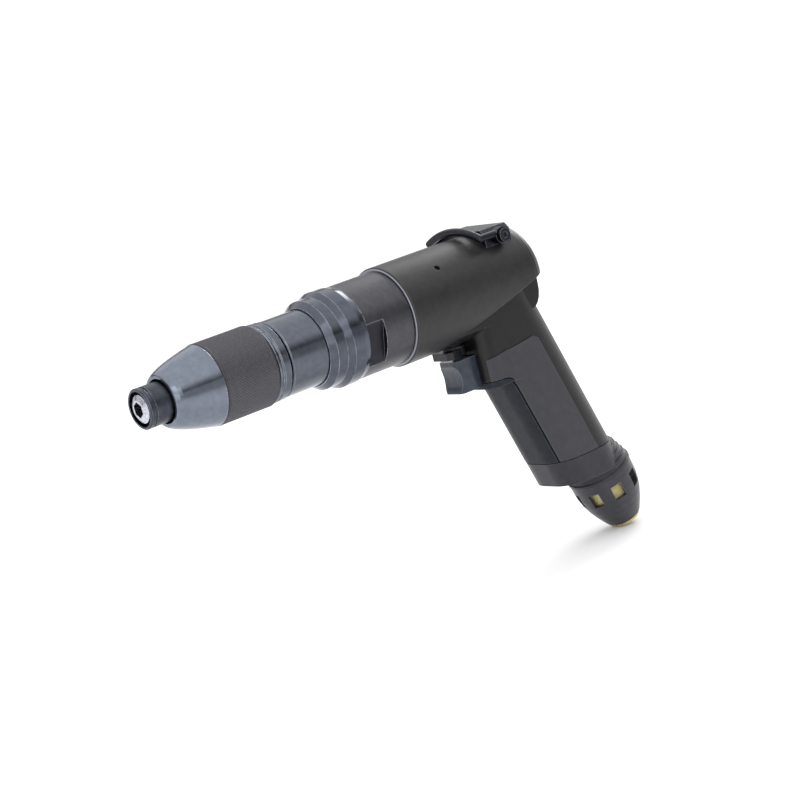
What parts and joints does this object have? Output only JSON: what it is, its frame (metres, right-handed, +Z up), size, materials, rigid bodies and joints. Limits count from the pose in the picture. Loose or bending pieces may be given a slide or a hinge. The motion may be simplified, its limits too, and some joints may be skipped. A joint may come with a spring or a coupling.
{
  "type": "pneumatic screwdriver",
  "caption": "Pistol-grip pneumatic screwdriver with quick-change bit chuck, knurled torque sleeve, trigger, suspension bail and bottom air inlet.",
  "frame": {"origin": "mouth of the hexagon bit socket, on the spindle axis", "axes": "+X along the barrel from the bit to the rear, +Z up, -Y the operator's left hand side"},
  "size_m": [0.2603, 0.048, 0.1697],
  "materials": {
    "burnished_steel": "burnished blue-grey, satin",
    "knurled_steel": "blackened, finely knurled",
    "casing_steel": "blackened, satin",
    "black_sleeve": "black oxide",
    "bright_steel": "hardened and ground",
    "inner_steel": "machined",
    "housing_coat": "fine textured powder coat on aluminium",
    "grip_moulding": "fine moulded grain",
    "panel_moulding": "fine moulded grain",
    "trigger_moulding": "smooth",
    "lever_moulding": "smooth",
    "base_moulding": "fine moulded grain",
    "brass": "sintered and turned",
    "vane_laminate": "cloth laminate"
  },
  "bodies": {
    "root": {"nose_cover": "burnished_steel", "lock_ring": "burnished_steel", "clutch_case": "inner_steel", "gear_case": "burnished_steel", "ring_gear": "inner_steel", "coupling_collar": "burnished_steel", "motor_casing": "casing_steel", "pistol_housing": "housing_coat", "rear_cover": "housing_coat", "spindle_bearing": "inner_steel", "carrier_bearing": "inner_steel", "cylinder_liner": "inner_steel", "front_end_plate": "inner_steel", "rear_end_plate": "inner_steel", "rotor_bearings": "inner_steel", "shutoff_seat": "brass", "valve_seat": "brass", "front_grip": "grip_moulding", "grip_panel_left": "panel_moulding", "grip_panel_right": "panel_moulding", "base_collar": "base_moulding", "silencer": "brass", "inlet_bushing": "brass", "hanger_bracket": "burnished_steel", "bail_screws": "burnished_steel"},
    "spindle": {"drive_spindle": "bright_steel", "chuck_ring": "inner_steel", "chuck_balls": "bright_steel", "chuck_spring": "inner_steel"},
    "quick_change_sleeve": {"chuck_sleeve": "black_sleeve"},
    "torque_ring": {"torque_sleeve": "knurled_steel"},
    "spring_nut": {"adjusting_nut": "brass", "clutch_spring": "inner_steel"},
    "driven_clutch": {"clutch_cam": "inner_steel", "thrust_washer": "inner_steel", "trip_pin": "bright_steel"},
    "output_stage": {"output_carrier": "inner_steel", "drive_cam": "inner_steel", "clutch_balls": "bright_steel"},
    "output_planet_a": {"output_planet_1": "inner_steel"},
    "output_planet_b": {"output_planet_2": "inner_steel"},
    "output_planet_c": {"output_planet_3": "inner_steel"},
    "input_stage": {"input_carrier": "inner_steel"},
    "input_planet_a": {"input_planet_1": "inner_steel"},
    "input_planet_b": {"input_planet_2": "inner_steel"},
    "input_planet_c": {"input_planet_3": "inner_steel"},
    "motor_rotor": {"rotor": "inner_steel", "vanes": "vane_laminate"},
    "shutoff": {"push_rod": "bright_steel", "shutoff_valve": "brass", "shutoff_spring": "inner_steel"},
    "trigger": {"trigger_button": "trigger_moulding", "trigger_rod": "bright_steel", "throttle_valve": "brass", "trigger_spring": "inner_steel"},
    "reverse": {"reverse_lever": "lever_moulding", "reverse_valve": "lever_moulding"},
    "bail": {"suspension_bail": "burnished_steel"},
    "deflector": {"exhaust_deflector": "base_moulding"}
  },
  "joints": [
    {"name": "rotor_spin", "type": "hinge", "parent": "root", "child": "motor_rotor", "pos_m": [0.1, 0, 0], "axis": [1, 0, 0], "continuous": true},
    {"name": "input_spin", "type": "hinge", "parent": "root", "child": "input_stage", "pos_m": [0.09, 0, 0], "axis": [1, 0, 0], "continuous": true},
    {"name": "output_spin", "type": "hinge", "parent": "root", "child": "output_stage", "pos_m": [0.075, 0, 0], "axis": [1, 0, 0], "continuous": true},
    {"name": "spindle_spin", "type": "hinge", "parent": "root", "child": "spindle", "pos_m": [0.03, 0, 0], "axis": [1, 0, 0], "continuous": true},
    {"name": "input_planet_a_spin", "type": "hinge", "parent": "input_stage", "child": "input_planet_a", "pos_m": [0, 0, -0.00877], "axis": [1, 0, 0], "continuous": true},
    {"name": "input_planet_b_spin", "type": "hinge", "parent": "input_stage", "child": "input_planet_b", "pos_m": [0, 0.0076, 0.00439], "axis": [1, 0, 0], "continuous": true},
    {"name": "input_planet_c_spin", "type": "hinge", "parent": "input_stage", "child": "input_planet_c", "pos_m": [0, -0.0076, 0.00439], "axis": [1, 0, 0], "continuous": true},
    {"name": "output_planet_a_spin", "type": "hinge", "parent": "output_stage", "child": "output_planet_a", "pos_m": [0, 0, -0.00877], "axis": [1, 0, 0], "continuous": true},
    {"name": "output_planet_b_spin", "type": "hinge", "parent": "output_stage", "child": "output_planet_b", "pos_m": [0, 0.0076, 0.00439], "axis": [1, 0, 0], "continuous": true},
    {"name": "output_planet_c_spin", "type": "hinge", "parent": "output_stage", "child": "output_planet_c", "pos_m": [0, -0.0076, 0.00439], "axis": [1, 0, 0], "continuous": true},
    {"name": "chuck_slide", "type": "slide", "parent": "spindle", "child": "quick_change_sleeve", "axis": [1, 0, 0], "range_m": [0, 0.004], "stiffness_N_per_m": 1500, "springref_m": -0.003, "deforming": ["chuck_spring"]},
    {"name": "torque_turn", "type": "hinge", "parent": "root", "child": "torque_ring", "pos_m": [0.05, 0, 0], "axis": [1, 0, 0], "range_deg": [0, 720]},
    {"name": "nut_slide", "type": "slide", "parent": "root", "child": "spring_nut", "axis": [1, 0, 0], "range_m": [0, 0.003], "deforming": ["clutch_spring"]},
    {"name": "cam_slide", "type": "slide", "parent": "spindle", "child": "driven_clutch", "axis": [-1, 0, 0], "range_m": [0, 0.002], "stiffness_N_per_m": 4000, "springref_m": -0.003},
    {"name": "shutoff_slide", "type": "slide", "parent": "root", "child": "shutoff", "axis": [-1, 0, 0], "range_m": [0, 0.002], "deforming": ["shutoff_spring"]},
    {"name": "trigger_slide", "type": "slide", "parent": "root", "child": "trigger", "axis": [1, 0, 0], "range_m": [0, 0.007], "stiffness_N_per_m": 700, "springref_m": -0.005, "deforming": ["trigger_spring"]},
    {"name": "reverse_turn", "type": "hinge", "parent": "root", "child": "reverse", "pos_m": [0.1723, 0, -0.024], "axis": [0, 0, 1], "range_deg": [-20, 20]},
    {"name": "bail_lift", "type": "hinge", "parent": "root", "child": "bail", "pos_m": [0.201, 0, 0.021], "axis": [0, 1, 0], "range_deg": [0, 120]},
    {"name": "deflector_turn", "type": "hinge", "parent": "root", "child": "deflector", "pos_m": [0.24455, 0, -0.11986], "axis": [0.309, 0, -0.9511], "continuous": true}
  ],
  "couplings": [
    {"joint": "input_spin", "follows": "rotor_spin", "ratio": 0.22222},
    {"joint": "output_spin", "follows": "rotor_spin", "ratio": 0.049383},
    {"joint": "spindle_spin", "follows": "rotor_spin", "ratio": 0.049383},
    {"joint": "input_planet_a_spin", "follows": "rotor_spin", "ratio": -0.62222},
    {"joint": "input_planet_b_spin", "follows": "rotor_spin", "ratio": -0.62222},
    {"joint": "input_planet_c_spin", "follows": "rotor_spin", "ratio": -0.62222},
    {"joint": "output_planet_a_spin", "follows": "rotor_spin", "ratio": -0.13827},
    {"joint": "output_planet_b_spin", "follows": "rotor_spin", "ratio": -0.13827},
    {"joint": "output_planet_c_spin", "follows": "rotor_spin", "ratio": -0.13827},
    {"joint": "nut_slide", "follows": "torque_turn", "m_per_rad": 0.00023873},
    {"joint": "shutoff_slide", "follows": "cam_slide", "ratio": 1}
  ]
}
